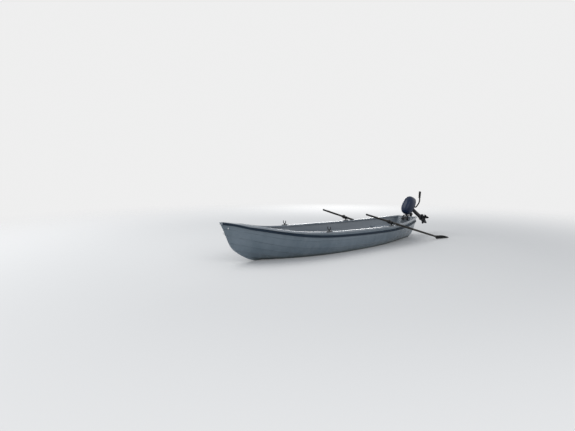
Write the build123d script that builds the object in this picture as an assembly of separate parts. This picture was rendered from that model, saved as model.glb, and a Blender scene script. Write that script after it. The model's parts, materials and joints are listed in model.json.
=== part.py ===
from build123d import *
import os
from math import cos, hypot, radians, sin

os.makedirs("parts", exist_ok=True)

# Frame: millimetres, +X to the bow, +Y to port, +Z up, origin amidships on the waterline.

# Hull lines. One row a station: x, then (y, z) of the keel line and of the six strake edges
# from the lowest plank up to the sheer. Past the stem a line lies beyond the centre plane,
# so that the skin crosses it on the stem's curve.
HULL_LINES = [
    # x, keel, edge 1, edge 2, edge 3, edge 4, edge 5, sheer
    (-2450, (-15, -58), (40, -26), (86, 8), (120, 68), (146, 157), (164, 270), (176, 402)),
    (-1950, (-15, -83), (80, -56), (159, -19), (233, 42), (293, 131), (341, 246), (374, 374)),
    (-1350, (-15, -114), (129, -88), (247, -49), (353, 14), (433, 106), (492, 221), (531, 352)),
    (-650, (-15, -136), (171, -111), (317, -70), (432, -4), (508, 94), (554, 215), (579, 357)),
    (50, (-15, -140), (178, -115), (327, -71), (442, 1), (517, 105), (562, 232), (583, 375)),
    (700, (-15, -124), (155, -97), (292, -45), (400, 34), (471, 139), (522, 263), (546, 400)),
    (1250, (-18, -68), (99, -42), (205, 20), (287, 104), (353, 202), (413, 319), (463, 452)),
    (1700, (-22, 15), (32, 52), (101, 118), (155, 203), (206, 304), (261, 416), (318, 534)),
    (2030, (-62, 68), (-24, 116), (9, 187), (43, 287), (76, 392), (113, 496), (157, 594)),
    (2232, (-88, 108), (-57, 163), (-44, 233), (-22, 338), (-2, 442), (20, 539), (48, 622)),
    (2382, (-108, 138), (-81, 199), (-84, 267), (-72, 375), (-62, 480), (-50, 573), (-32, 642)),
]
WALL = 8
LAP = 7
FAR_SIDE = -700
CAVITY_RISE = 80

# Transom, an inclined flat panel. Its top point lies on the outer face.
TRANSOM_TOP = (-2370, 430)
TRANSOM_RAKE = 18.6
TRANSOM_THICK = 40

# Keel and stem bar, its outer edge from the stem's head aft
BAR_HALF = 12
BAR_PROFILE = [
    (2338, 655), (2262, 510), (2205, 380), (2160, 290), (2085, 200), (1975, 124), (1830, 45),
    (1640, -10), (1300, -80), (700, -140), (0, -160), (-900, -156), (-2120, -140),
]
BAR_INSIDE = [(-2120, 60), (1500, 60), (2200, 640)]

# Gunwale cap, its section across the sheer line
CAP_IN = 30
CAP_OUT = 12
CAP_HEIGHT = 18
CAP_SKIRT = 14
STEM_HEAD = (2326, -1, 634)

# Rubber fender on the top strake, below a band of bare plank
FENDER_HEIGHT = 38
FENDER_OUT = 22
FENDER_DROPS = [
    # x, drop of the fender's top edge below the sheer
    (2382, 10), (2232, 11), (2030, 13), (1700, 16), (1250, 22), (700, 40), (50, 50),
    (-650, 52), (-1350, 52), (-1950, 51), (-2450, 50),
]

# Benches, closed boxes fitted to the hull's inner face
BENCHES = [
    # node, aft face x, fore face x, underside z, top z
    ("bench_bow", 1470, 2320, -300, 330),
    ("thwart_fore", 820, 1060, -80, 252),
    ("thwart_aft", -770, -530, -80, 212),
    ("bench_stern", -2400, -1650, -300, 232),
]
SOLE = (-1650, 1470, -96, -80)

# Rowlock stations and parts
ROWLOCK_STATIONS = [("fore", 595), ("aft", -1050)]
SIDES = [("port", 1), ("starboard", -1)]
PAD_SIZE = (120, 40, 14)
PIN_RADIUS = 6.5
PIN_BORE = 7
PIN_DEPTH = 29
LOOM_RISE = 50
HORN_RADIUS = 31
HORN_WIRE = 5
HORN_CURL = 20
NECK_RADIUS = 11

# Oars, along local X from the rowlock with the handle side positive, trailing aft
OARS = [
    # side, sign of y, splay away from the hull
    ("port", 1, 5.7),
    ("starboard", -1, 4.0),
]
OAR_DIP = 16.1
OAR_OUT = 1740
OAR_IN = 650
LOOM_RADIUS = 18
NECK_OF_LOOM = 14
SLEEVE_RADIUS = 22
SLEEVE_SPAN = (-110, 130)
STOP_COLLAR = (60, 72, 38)
COLLAR_BALL = 25.6
GRIP_LENGTH = 120
GRIP_RADIUS = 17
BLADE_LENGTH = 480
BLADE_WIDTH = 135
BLADE_TURN = 62

# Outboard motor. Its own frame has the tilt axis at the origin and the leg upright.
TILT_AXIS = (-2440, 450)
TILT = 58.2
LEG_AFT = 130
LEG_RADIUS = 26
COLLAR_RADIUS = 38
COLLAR_TOP = 10
COLLAR_BOTTOM = -110
PAN_BOTTOM = 18
PLATE_Z = -425
PROP_Z = -543
SKEG_Z = -678
PROP_RADIUS = 95
POD_AFT = 62
SHAFT_RADIUS = 8
LEG_SECTIONS = [
    # height, length ahead of the leg's axis, length behind it, half thickness
    (-116, 40, 44, 25), (-300, 40, 46, 24), (PLATE_Z, 46, 60, 22), (PROP_Z, 50, 62, 20),
]
COWL_RINGS = [
    # height, centre x, half length, half width
    (63, -149, 198, 104), (128, -138, 211, 111), (193, -127, 205, 108), (236, -120, 177, 93),
    (264, -116, 122, 64), (279, -113, 63, 33),
]
COWL_WALL = 5
TILLER_RADIUS = 13
TILLER_PATH = [
    (-214, 0, 46), (-210, 0, -40), (-228, 0, -112), (-300, 0, -150), (-380, 0, -168),
    (-430, 0, -154), (-466, 0, -124),
]
TILLER_END = (-588, 0, -62)
TILLER_GRIP_RADIUS = 19
TILLER_FLANGE = (27, 8)


def polygon_at(x, points):
    return Face(Wire.make_polygon([Vector(x, y, z) for y, z in points], close=True))


def clinker_section(x, edges):
    points = [edges[0]]
    for index in range(1, len(edges)):
        (y0, z0), (y1, z1) = edges[index - 1], edges[index]
        points.append((y1, z1))
        if index < len(edges) - 1:
            length = hypot(y1 - y0, z1 - z0)
            points.append((y1 + LAP * (z1 - z0) / length, z1 - LAP * (y1 - y0) / length))
    points.append((FAR_SIDE, edges[-1][1]))
    points.append((FAR_SIDE, edges[0][1]))
    return polygon_at(x, points)


def inner_edges(edges, wall):
    moved = []
    for index, (y, z) in enumerate(edges):
        before = edges[max(index - 1, 0)]
        after = edges[min(index + 1, len(edges) - 1)]
        length = hypot(after[0] - before[0], after[1] - before[1])
        moved.append((y - wall * (after[1] - before[1]) / length,
                      z + wall * (after[0] - before[0]) / length))
    return moved


def cavity_section(x, edges):
    points = inner_edges(edges, WALL)
    top = edges[-1][1] + CAVITY_RISE
    points.append((points[-1][0], top))
    points.append((FAR_SIDE, top))
    points.append((FAR_SIDE, points[0][1]))
    return polygon_at(x, points)


def behind_transom(inset):
    block = Box(1000, 3000, 3000, align=(Align.MAX, Align.CENTER, Align.CENTER))
    x, z = TRANSOM_TOP
    return Pos(x + inset / cos(radians(TRANSOM_RAKE)), 0, z) * Rot(0, -TRANSOM_RAKE, 0) * block


def other_side(solid):
    return mirror(solid, about=Plane.XZ)


# Hull in four pieces: a moulded skin a side, the transom panel and the keel and stem bar
port_space = Box(7000, 1500, 4000, align=(Align.CENTER, Align.MIN, Align.CENTER))
outer_half = loft([clinker_section(row[0], row[1:]) for row in HULL_LINES]) & port_space
cavity_half = loft([cavity_section(row[0], row[1:]) for row in HULL_LINES]) & port_space
outer_body = outer_half + other_side(outer_half)
whole_cavity = cavity_half + other_side(cavity_half)
cavity = whole_cavity - behind_transom(TRANSOM_THICK)

bar_line = Spline([Vector(x, 0, z) for x, z in BAR_PROFILE])
bar_back = Polyline([bar_line @ 1] + [Vector(x, 0, z) for x, z in BAR_INSIDE] + [bar_line @ 0])
bar = extrude(make_face([bar_line, bar_back]), BAR_HALF, dir=(0, 1, 0), both=True)
full_outer = outer_body + bar - behind_transom(0)

hull_port = outer_half - cavity_half - behind_transom(0)
transom_panel = (whole_cavity & outer_body & behind_transom(TRANSOM_THICK)) - behind_transom(0)
stem_and_keel = bar - outer_body - behind_transom(0)
export_step(hull_port, "parts/hull_port.step")
export_step(other_side(hull_port), "parts/hull_starboard.step")
export_step(transom_panel, "parts/hull_transom.step")
export_step(stem_and_keel, "parts/hull_stem_and_keel.step")

# Sheer line through the stations, port side, from the stem aft
SHEER_POINTS = [Vector(x, edges[-1][0], edges[-1][1]) for x, *edges in HULL_LINES[:-1]]
SHEER_POINTS.reverse()
SHEER = Spline([Vector(*STEM_HEAD)] + SHEER_POINTS)


def sheer_at(x):
    low, high = 0.0, 1.0
    for _ in range(40):
        middle = (low + high) / 2
        if (SHEER @ middle).X > x:
            low = middle
        else:
            high = middle
    return SHEER @ low


def along(line, inward, outward, bottom, top):
    start = line @ 0
    heading = line % 0
    ahead = Vector(heading.X, heading.Y, 0).normalized()
    plane = Plane(origin=start, x_dir=ahead.cross(Vector(0, 0, 1)), z_dir=ahead)
    lift = -1 if plane.y_dir.Z < 0 else 1
    corners = [(-inward, bottom), (outward, bottom), (outward, top), (-inward, top)]
    profile = plane * make_face(Polyline([(a, lift * b) for a, b in corners], close=True))
    swept = sweep(profile, path=line, binormal=(Pos(0, 0, 300) * line).edge())
    return swept & port_space


def on_top_strake(edges, drop):
    (y_low, z_low), (y_high, z_high) = edges[-2], edges[-1]
    share = drop / (z_high - z_low)
    return y_high - share * (y_high - y_low - LAP), z_high - drop


cap_bar = along(SHEER, CAP_IN, CAP_OUT, -CAP_SKIRT, CAP_HEIGHT)

# Breasthook at the bow, between the two gunwale caps
hook_sections = []
for x in (2050, 2190, 2322):
    half = max(sheer_at(x).Y, 14)
    top = sheer_at(x).Z + CAP_HEIGHT
    hook_sections.append(polygon_at(x, [(-half, top - 24), (half, top - 24), (half, top), (-half, top)]))
breasthook = loft(hook_sections)

# Stern cap across the transom's top
STERN_CAP = (-2388, -2308)
stern_rail = sheer_at(-2350)
stern_cap = Pos(STERN_CAP[0], 0, stern_rail.Z - 4) * Box(
    STERN_CAP[1] - STERN_CAP[0], 2 * stern_rail.Y, CAP_HEIGHT + 4,
    align=(Align.MIN, Align.CENTER, Align.MIN))
aft_cut = Pos(STERN_CAP[0], 0, 400) * Box(500, 1000, 1000, align=(Align.MAX, Align.CENTER, Align.CENTER))
caps = (cap_bar - aft_cut) + (other_side(cap_bar) - aft_cut)
gunwale = caps + breasthook + stern_cap - full_outer

# Fenders, one a side
strip_points = []
for (x, *edges), (_, drop) in zip(reversed(HULL_LINES), FENDER_DROPS):
    y, z = on_top_strake(edges, drop)
    strip_points.append(Vector(x, y, z))
strip_line = Spline(strip_points)
fender_port = along(strip_line, 20, FENDER_OUT, -FENDER_HEIGHT, 0)
fender_port = fender_port - full_outer - behind_transom(0) - gunwale
export_step(fender_port, "parts/fender_port.step")
export_step(other_side(fender_port), "parts/fender_starboard.step")

# Sole and benches
x_aft, x_fore, z_low, z_high = SOLE
slab = Box(x_fore - x_aft, 1400, z_high - z_low, align=(Align.MIN, Align.CENTER, Align.MIN))
export_step(cavity & (Pos(x_aft, 0, z_low) * slab), "parts/sole.step")
for name, x_aft, x_fore, z_low, z_high in BENCHES:
    block = Box(x_fore - x_aft, 1400, z_high - z_low, align=(Align.MIN, Align.CENTER, Align.MIN))
    export_step(cavity & (Pos(x_aft, 0, z_low) * block), f"parts/{name}.step")

# Rowlocks: a pad with a bore on the cap, and a ringed crutch that turns in it
horn = Plane.YZ * CenterArc((0, 0), HORN_RADIUS, 180 - HORN_CURL, 180 + 2 * HORN_CURL)
fork = sweep(Plane(origin=horn @ 0, z_dir=horn % 0) * Circle(HORN_WIRE), path=horn)
for end in (0, 1):
    tip = horn @ end
    fork = fork + Pos(tip.X, tip.Y, tip.Z) * Sphere(HORN_WIRE)
neck = Pos(0, 0, -LOOM_RISE) * Cylinder(
    NECK_RADIUS, LOOM_RISE - HORN_RADIUS, align=(Align.CENTER, Align.CENTER, Align.MIN))
pin = Pos(0, 0, -LOOM_RISE) * Cylinder(
    PIN_RADIUS, PIN_DEPTH, align=(Align.CENTER, Align.CENTER, Align.MAX))
crutch = fork + neck + pin

rowlock_seats = {}
for station, x in ROWLOCK_STATIONS:
    rail = sheer_at(x)
    for side, sign in SIDES:
        name = f"{station}_{side}"
        seat = Vector(x, sign * rail.Y, rail.Z + CAP_HEIGHT + PAD_SIZE[2])
        pad = Pos(seat.X, seat.Y, seat.Z) * Box(
            PAD_SIZE[0], PAD_SIZE[1], PAD_SIZE[2] + 8, align=(Align.CENTER, Align.CENTER, Align.MAX))
        bore = Pos(seat.X, seat.Y, seat.Z + 1) * Cylinder(
            PIN_BORE, PIN_DEPTH + 2, align=(Align.CENTER, Align.CENTER, Align.MAX))
        export_step(pad - gunwale - bore, f"parts/rowlock_pad_{name}.step")
        gunwale = gunwale - bore
        export_step(Pos(seat.X, seat.Y, seat.Z + LOOM_RISE) * crutch, f"parts/rowlock_{name}.step")
        rowlock_seats[name] = seat
export_step(gunwale, "parts/gunwale.step")

# Oars in the aft rowlocks: tapered loom with a turned blade, sleeve with a collar, handle
tip, root = -OAR_OUT, -OAR_OUT + BLADE_LENGTH
BLADE_OUTLINE = [
    # x, half width
    (tip, BLADE_WIDTH / 2), (tip + 290, BLADE_WIDTH / 2 - 6), (root, NECK_OF_LOOM),
]
blade_edge = [(x, half) for x, half in BLADE_OUTLINE] + [(x, -half) for x, half in reversed(BLADE_OUTLINE)]
inboard = OAR_IN - GRIP_LENGTH
loom = loft([
    Plane(origin=(root - 60, 0, 0), z_dir=(1, 0, 0)) * Circle(NECK_OF_LOOM),
    Plane(origin=(SLEEVE_SPAN[0], 0, 0), z_dir=(1, 0, 0)) * Circle(LOOM_RADIUS),
])
loom = loom + extrude(Plane(origin=(SLEEVE_SPAN[0], 0, 0), z_dir=(1, 0, 0)) * Circle(LOOM_RADIUS),
                      inboard - SLEEVE_SPAN[0])
sleeve_start = Plane(origin=(SLEEVE_SPAN[0], 0, 0), z_dir=(1, 0, 0))
sleeve = extrude(sleeve_start * Circle(SLEEVE_RADIUS), SLEEVE_SPAN[1] - SLEEVE_SPAN[0])
stop_start, stop_end, stop_radius = STOP_COLLAR
sleeve = sleeve + extrude(
    Plane(origin=(stop_start, 0, 0), z_dir=(1, 0, 0)) * Circle(stop_radius), stop_end - stop_start)
sleeve = sleeve + Sphere(COLLAR_BALL)
sleeve = sleeve - extrude(sleeve_start * Circle(LOOM_RADIUS), SLEEVE_SPAN[1] - SLEEVE_SPAN[0])
handle = extrude(Plane(origin=(inboard, 0, 0), z_dir=(1, 0, 0)) * Circle(GRIP_RADIUS), GRIP_LENGTH)
flat_blade = extrude(make_face(Polyline(blade_edge, close=True)), 5, both=True)
for side, sign, splay in OARS:
    pivot = rowlock_seats[f"aft_{side}"] + Vector(0, 0, LOOM_RISE)
    place = Pos(pivot.X, pivot.Y, pivot.Z) * Rot(0, 0, -sign * splay) * Rot(0, -OAR_DIP, 0)
    oar = loom + Rot(sign * BLADE_TURN, 0, 0) * flat_blade
    export_step(place * oar, f"parts/oar_{side}.step")
    export_step(place * sleeve, f"parts/oar_sleeve_{side}.step")
    export_step(place * handle, f"parts/oar_grip_{side}.step")

# Transom pads and the motor's clamp bracket, in the transom's own frame
transom = Pos(TRANSOM_TOP[0], 0, TRANSOM_TOP[1]) * Rot(0, -TRANSOM_RAKE, 0)
pad_outer = transom * Pos(-20, 0, -250) * Box(20, 200, 212, align=(Align.MIN, Align.CENTER, Align.MIN))
pad_outer = pad_outer - gunwale - full_outer
pad_inner = transom * Pos(TRANSOM_THICK, 0, -190) * Box(
    14, 200, 140, align=(Align.MIN, Align.CENTER, Align.MIN))
pad_inner = pad_inner - gunwale
export_step(pad_outer, "parts/transom_pad_outer.step")
export_step(pad_inner, "parts/transom_pad_inner.step")

CHEEK_OUTLINE = [
    (-34, -235), (-20, -235), (-20, -3), (64, -31), (64, -120), (80, -120), (78, -17),
    (-6, 11), (-38, 58), (-58, 66), (-78, 58), (-84, 38), (-70, 14), (-34, -30),
]
CHEEK_Y = 56
SCREW_Z = -104
cheek_face = Plane.XZ * make_face(Polyline(CHEEK_OUTLINE, close=True))
tilt_at = Pos(TILT_AXIS[0], 0, TILT_AXIS[1])
tilt_bore = tilt_at * Rot(90, 0, 0) * Cylinder(8, 200)
cheeks = [extrude(Pos(0, sign * CHEEK_Y, 0) * cheek_face, 6, both=True) for _, sign in SIDES]
bracket = cheeks[0] + cheeks[1]
for _, sign in SIDES:
    boss = Pos(62, sign * CHEEK_Y, SCREW_Z) * Rot(0, 90, 0) * Cylinder(
        15, 20, align=(Align.CENTER, Align.CENTER, Align.MIN))
    bracket = bracket + boss
for x_low, x_high, z_low, z_high in ((-34, -20, -235, -150), (64, 80, -90, -50)):
    web = Pos(x_low, 0, z_low) * Box(
        x_high - x_low, 2 * CHEEK_Y, z_high - z_low, align=(Align.MIN, Align.CENTER, Align.MIN))
    bracket = bracket + web
bracket = transom * bracket - tilt_bore - gunwale
export_step(tilt_at * Rot(90, 0, 0) * Cylinder(8, 140), "parts/motor_tilt_pin.step")
for side, sign in SIDES:
    screw = Pos(54, sign * CHEEK_Y, SCREW_Z) * Rot(0, 90, 0) * (
        Cylinder(17, 6, align=(Align.CENTER, Align.CENTER, Align.MIN))
        + Cylinder(6, 80, align=(Align.CENTER, Align.CENTER, Align.MIN))
        + Pos(0, 0, 74) * Rot(90, 0, 0) * Cylinder(5, 70))
    screw = transom * screw
    export_step(screw, f"parts/motor_clamp_screw_{side}.step")
    bracket = bracket - screw
export_step(bracket, "parts/motor_clamp_bracket.step")

# Motor pieces in the motor's own frame
motor = Pos(TILT_AXIS[0], 0, TILT_AXIS[1]) * Rot(0, TILT, 0)


def upright(radius, z_low, z_high):
    return Pos(-LEG_AFT, 0, z_low) * Cylinder(
        radius, z_high - z_low, align=(Align.CENTER, Align.CENTER, Align.MIN))


swivel = Rot(90, 0, 0) * Cylinder(17, 88)
arm = Pos(-LEG_AFT, 0, -17) * Box(LEG_AFT, 56, 27, align=(Align.MIN, Align.CENTER, Align.MIN))
swivel = swivel + arm + upright(COLLAR_RADIUS, COLLAR_BOTTOM, COLLAR_TOP)
swivel = swivel - upright(LEG_RADIUS + 1, -400, 400) - Rot(90, 0, 0) * Cylinder(8.5, 200)
export_step(motor * swivel, "parts/motor_swivel_bracket.step")


def streamlined(z, nose, tail, half):
    outline = Spline([
        Vector(-LEG_AFT + nose, 0, z), Vector(-LEG_AFT + nose * 0.45, half, z),
        Vector(-LEG_AFT - tail * 0.4, half * 0.8, z), Vector(-LEG_AFT - tail, 0, z),
        Vector(-LEG_AFT - tail * 0.4, -half * 0.8, z), Vector(-LEG_AFT + nose * 0.45, -half, z),
    ], periodic=True)
    return make_face(outline)


leg = upright(LEG_RADIUS, LEG_SECTIONS[0][0] - 20, PAN_BOTTOM)
leg = leg + loft([streamlined(*row) for row in LEG_SECTIONS])
plate = Plane.XY.offset(PLATE_Z) * make_face(Spline([
    (-LEG_AFT + 54, 0), (-LEG_AFT + 24, 34), (-LEG_AFT - 50, 46), (-LEG_AFT - 86, 36),
    (-LEG_AFT - 90, 0), (-LEG_AFT - 86, -36), (-LEG_AFT - 50, -46), (-LEG_AFT + 24, -34),
], periodic=True))
leg = leg + extrude(plate, 4, both=True)
pod_line = Spline([Vector(-LEG_AFT + 84, 0, 0), Vector(-LEG_AFT + 56, 0, 23),
                   Vector(-LEG_AFT, 0, 31), Vector(-LEG_AFT - POD_AFT, 0, 28)])
pod_face = make_face([pod_line, Polyline([pod_line @ 1, Vector(-LEG_AFT - POD_AFT, 0, 0), pod_line @ 0])])
leg = leg + Pos(0, 0, PROP_Z) * revolve(pod_face, Axis.X)
skeg_face = Plane.XZ * make_face(Polyline([
    (-LEG_AFT + 48, PROP_Z), (-LEG_AFT - 52, PROP_Z), (-LEG_AFT - 50, SKEG_Z + 20),
    (-LEG_AFT - 20, SKEG_Z), (-LEG_AFT + 4, SKEG_Z + 8),
], close=True))
leg = leg + extrude(skeg_face, 4, both=True)
leg = leg + Pos(-LEG_AFT - POD_AFT + 8, 0, PROP_Z) * Rot(0, -90, 0) * Cylinder(
    SHAFT_RADIUS, 64, align=(Align.CENTER, Align.CENTER, Align.MIN))
export_step(motor * leg, "parts/motor_leg.step")

# Propeller, three blades on a tapered hub that runs free of the pod by 5 mm
hub_x = -LEG_AFT - POD_AFT - 5
propeller = Pos(hub_x, 0, PROP_Z) * Rot(0, -90, 0) * Cone(
    27, 20, 58, align=(Align.CENTER, Align.CENTER, Align.MIN))
paddle = Pos(0, 0, PROP_RADIUS - 38) * (Rot(0, 90, 0) * extrude(Ellipse(38, 30), 3, both=True))
paddle = Rot(0, 0, 28) * paddle
for turn in (0, 120, 240):
    propeller = propeller + Pos(hub_x - 28, 0, PROP_Z) * Rot(turn, 0, 0) * paddle
propeller = propeller - Pos(hub_x + 1, 0, PROP_Z) * Rot(0, -90, 0) * Cylinder(
    SHAFT_RADIUS + 0.06, 53, align=(Align.CENTER, Align.CENTER, Align.MIN))
export_step(motor * propeller, "parts/motor_propeller.step")


def ring(z, centre, half_length, half_width):
    return Pos(centre, 0, z) * Ellipse(half_length, half_width)


# Pan and cowl, the cowl a shell with a seam on the pan
pan = loft([ring(PAN_BOTTOM, -LEG_AFT, 54, 46), ring(42, -140, 124, 84), ring(*COWL_RINGS[0])])
export_step(motor * pan, "parts/motor_lower_pan.step")
cowl = loft([ring(*row) for row in COWL_RINGS])
inner = loft([ring(z - (0 if index == 0 else COWL_WALL), centre, a - COWL_WALL, b - COWL_WALL)
              for index, (z, centre, a, b) in enumerate(COWL_RINGS)])
export_step(motor * (cowl - inner), "parts/motor_cowl.step")
engine = Pos(-135, 0, COWL_RINGS[0][0]) * Box(
    210, 130, 140, align=(Align.CENTER, Align.CENTER, Align.MIN))
export_step(motor * engine, "parts/motor_engine_block.step")

# Tiller, a bent tube with a flange and a twist grip
tiller_line = Spline([Vector(*point) for point in TILLER_PATH])
tiller = sweep(Plane(origin=tiller_line @ 0, z_dir=tiller_line % 0) * Circle(TILLER_RADIUS),
               path=tiller_line)
reach = Vector(*TILLER_END) - tiller_line @ 1
grip_plane = Plane(origin=tiller_line @ 1, z_dir=reach)
flange_radius, flange_thick = TILLER_FLANGE
grip = extrude(grip_plane * Circle(flange_radius), flange_thick)
grip = grip + extrude(grip_plane * Circle(TILLER_GRIP_RADIUS), reach.length)
export_step(motor * (tiller - pan - grip), "parts/motor_tiller_arm.step")
export_step(motor * grip, "parts/motor_tiller_grip.step")

# Bow eye on the stem bar, and a small pad eye on each side of the bow
eye = Pos(2258, 0, 490) * Rot(90, 0, 0) * Torus(20, 5)
export_step(eye - full_outer, "parts/bow_eye.step")
PAD_EYE = (2212, 560)
pad_eye = Pos(PAD_EYE[0], 0, PAD_EYE[1]) * Rot(-90, 0, 0) * Cylinder(
    13, 44, align=(Align.CENTER, Align.CENTER, Align.MIN))
pad_eye = pad_eye - full_outer - fender_port
export_step(pad_eye, "parts/bow_pad_eye_port.step")
export_step(other_side(pad_eye), "parts/bow_pad_eye_starboard.step")
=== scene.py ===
import bmesh
import bpy
import json
import math
import numpy as np
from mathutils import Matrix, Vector


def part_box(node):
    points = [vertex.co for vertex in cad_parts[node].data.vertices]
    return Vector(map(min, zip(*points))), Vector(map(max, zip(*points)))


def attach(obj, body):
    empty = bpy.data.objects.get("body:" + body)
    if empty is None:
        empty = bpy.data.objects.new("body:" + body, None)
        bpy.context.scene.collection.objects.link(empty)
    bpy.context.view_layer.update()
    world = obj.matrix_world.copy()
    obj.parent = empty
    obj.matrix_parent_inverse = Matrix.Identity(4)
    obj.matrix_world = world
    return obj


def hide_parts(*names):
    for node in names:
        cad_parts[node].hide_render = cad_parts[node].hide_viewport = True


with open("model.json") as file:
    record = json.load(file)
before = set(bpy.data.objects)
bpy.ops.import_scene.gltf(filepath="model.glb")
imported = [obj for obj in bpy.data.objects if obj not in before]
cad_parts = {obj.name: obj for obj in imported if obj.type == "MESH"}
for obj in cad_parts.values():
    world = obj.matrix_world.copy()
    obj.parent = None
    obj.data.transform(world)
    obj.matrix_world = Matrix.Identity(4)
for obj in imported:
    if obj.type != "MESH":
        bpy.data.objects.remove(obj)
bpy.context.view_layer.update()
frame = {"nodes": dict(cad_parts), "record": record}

# Photograph's frame and the camera that was fitted to it
FRAME_WIDTH = 575
FRAME_HEIGHT = 431
FOCAL_PIXELS = 480.0
HORIZON_ROW = 163.8
SENSOR_WIDTH = 36.0
CAMERA_AT = (6.200, 5.935, 1.511)
CAMERA_HEADING = (-0.6583, -0.7528)

MM = 0.001
SIDES = (("port", 1.0), ("starboard", -1.0))

# Hull lines in millimetres, as in the part's source
HULL_LINES = np.array([
    # x, then y and z of the keel line, of five strake edges and of the sheer
    (-2450, -15, -58, 40, -26, 86, 8, 120, 68, 146, 157, 164, 270, 176, 402),
    (-1950, -15, -83, 80, -56, 159, -19, 233, 42, 293, 131, 341, 246, 374, 374),
    (-1350, -15, -114, 129, -88, 247, -49, 353, 14, 433, 106, 492, 221, 531, 352),
    (-650, -15, -136, 171, -111, 317, -70, 432, -4, 508, 94, 554, 215, 579, 357),
    (50, -15, -140, 178, -115, 327, -71, 442, 1, 517, 105, 562, 232, 583, 375),
    (700, -15, -124, 155, -97, 292, -45, 400, 34, 471, 139, 522, 263, 546, 400),
    (1250, -18, -68, 99, -42, 205, 20, 287, 104, 353, 202, 413, 319, 463, 452),
    (1700, -22, 15, 32, 52, 101, 118, 155, 203, 206, 304, 261, 416, 318, 534),
    (2030, -62, 68, -24, 116, 9, 187, 43, 287, 76, 392, 113, 496, 157, 594),
    (2232, -88, 108, -57, 163, -44, 233, -22, 338, -2, 442, 20, 539, 48, 622),
    (2382, -108, 138, -81, 199, -84, 267, -72, 375, -62, 480, -50, 573, -32, 642),
], float) * MM
STRAKES = 6
KEEL_LINES = 6
WALL = 8 * MM
LAP = 7 * MM
LAP_SHARE = 0.10
HULL_COLUMNS = 150
SEARCH_FROM = -2.5
SEARCH_POINTS = 1400
BOW_CLOSENESS = 0.55
TRANSOM_TOP = (-2.370, 0.430)
TRANSOM_LEAN = math.tan(math.radians(18.6))

# Gunwale cap, breasthook and stern cap
CAP_IN = 0.030
CAP_OUT = 0.012
CAP_HEIGHT = 0.018
CAP_SKIRT = 0.014
CAP_CROWN = 0.0015
CAP_ENDS = (-2.386, 2.324)
CENTRE_GAP = 0.0003
HOOK_ENDS = (2.045, 2.300)
HOOK_INSET = 0.016
HOOK_HALF_HEIGHT = 0.010
HOOK_BELOW_CAP = 0.009
HOOK_CROWN = 0.006
HOOK_CROWN_HALF = 0.15
STERN_CAP_X = -2.348
STERN_CAP_HALF = 0.040
STERN_CAP_DEPTH = 0.004
STERN_SHEER_X = -2.350

# Fenders
FENDER_HEIGHT = 0.038
FENDER_OUT = 0.022
FENDER_ENDS = (-2.355, 2.300)
FENDER_BACK = -0.004
FENDER_GROOVE = 0.0035
GROOVE_HALF = 0.16
FENDER_END_SHARE = 0.35
FENDER_CLOSING = (0.05, 0.04)
STRIP_GAP = 0.0005
BOW_LIFT = 0.030
BOW_LIFT_FROM = 1.850
BOW_LIFT_RUN = 0.380
FENDER_DROPS = np.array([
    # x, drop of the fender's top edge below the sheer
    (-2450, 50), (-1950, 51), (-1350, 52), (-650, 52), (50, 50), (700, 40), (1250, 22),
    (1700, 16), (2030, 13), (2232, 11), (2382, 10),
], float) * MM

# Rowlocks and oars
PAD_HALF = (0.060, 0.020)
PAD_SCREW_AT = 0.043
LOOM_RISE = 0.050
HORN_RADIUS = 0.031
HORN_WIRE = 0.005
HORN_CURL = math.radians(26)
HORN_TIP_RADIUS = 0.0066
OAR_SPLAY = {"port": math.radians(5.7), "starboard": math.radians(4.0)}
OAR_DIP = math.radians(16.1)
OAR_OUT = 1.740
BLADE_LENGTH = 0.480
BLADE_STATIONS = (0, 0.18, 0.42, 0.66, 0.86, 1.0)
BLADE_HALF_WIDTHS = (0.0150, 0.0215, 0.0540, 0.0745, 0.0765, 0.0735)
TIP_FURTHER = 0.002
TIP_ROUNDING = 0.035
EDGE_AT_TIP = 0.0022
EDGE_MORE_AT_LOOM = 0.0030
RIB_HEIGHT = 0.0085
RIB_HALF = 0.014
BLADE_CUP = 0.006
BLADE_TURN = math.radians(62)
HANDLE_FURTHER_IN = {"port": 0.030, "starboard": 0.085}

# Motor, its own frame has the tilt axis at the origin and the leg upright
TILT_AXIS = (-2.440, 0.450)
TILT = math.radians(58.2)
LEG_AFT = 0.130
TAIL_PINCH = 0.45
TAIL_FROM = 0.030
TAIL_RUN = 0.014
PLATE_Z = -0.425
PLATE_AHEAD = 0.054
PLATE_BEHIND = 0.090
PLATE_HALF = 0.046
PROP_Z = -0.543
SKEG_Z = -0.678
HUB_X = -0.197
COWL_POWER = 2.25
SEAM_Z = 0.086
SEAM_HALF = 0.0028
ROOT_RADIUS = 0.018
BLADE_REACH = 0.077
CHORD_STATIONS = (0, 0.25, 0.55, 0.8, 0.94, 1.0)
CHORDS = (0.020, 0.032, 0.039, 0.034, 0.020, 0.004)
PITCH = 0.20
RAKE = 0.010
SKEW = 0.35
BLADES_BEHIND_HUB = 0.026
TILLER_RADIUS = 0.0145
GRIP_RADIUS = 0.0212
GRIP_RIBS = 15
BLADE_TURNS = [math.radians(a) for a in (50, 170, 290)]

# Floor
FLOOR_OPEN_TO = 1.56
FLOOR_INSET = 0.006
FLOOR_GAP = 0.0005
FLOOR_REACH = 45.0
FLOOR_FADE_START = 3.4
FLOOR_FADE_END = 11.0


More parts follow.
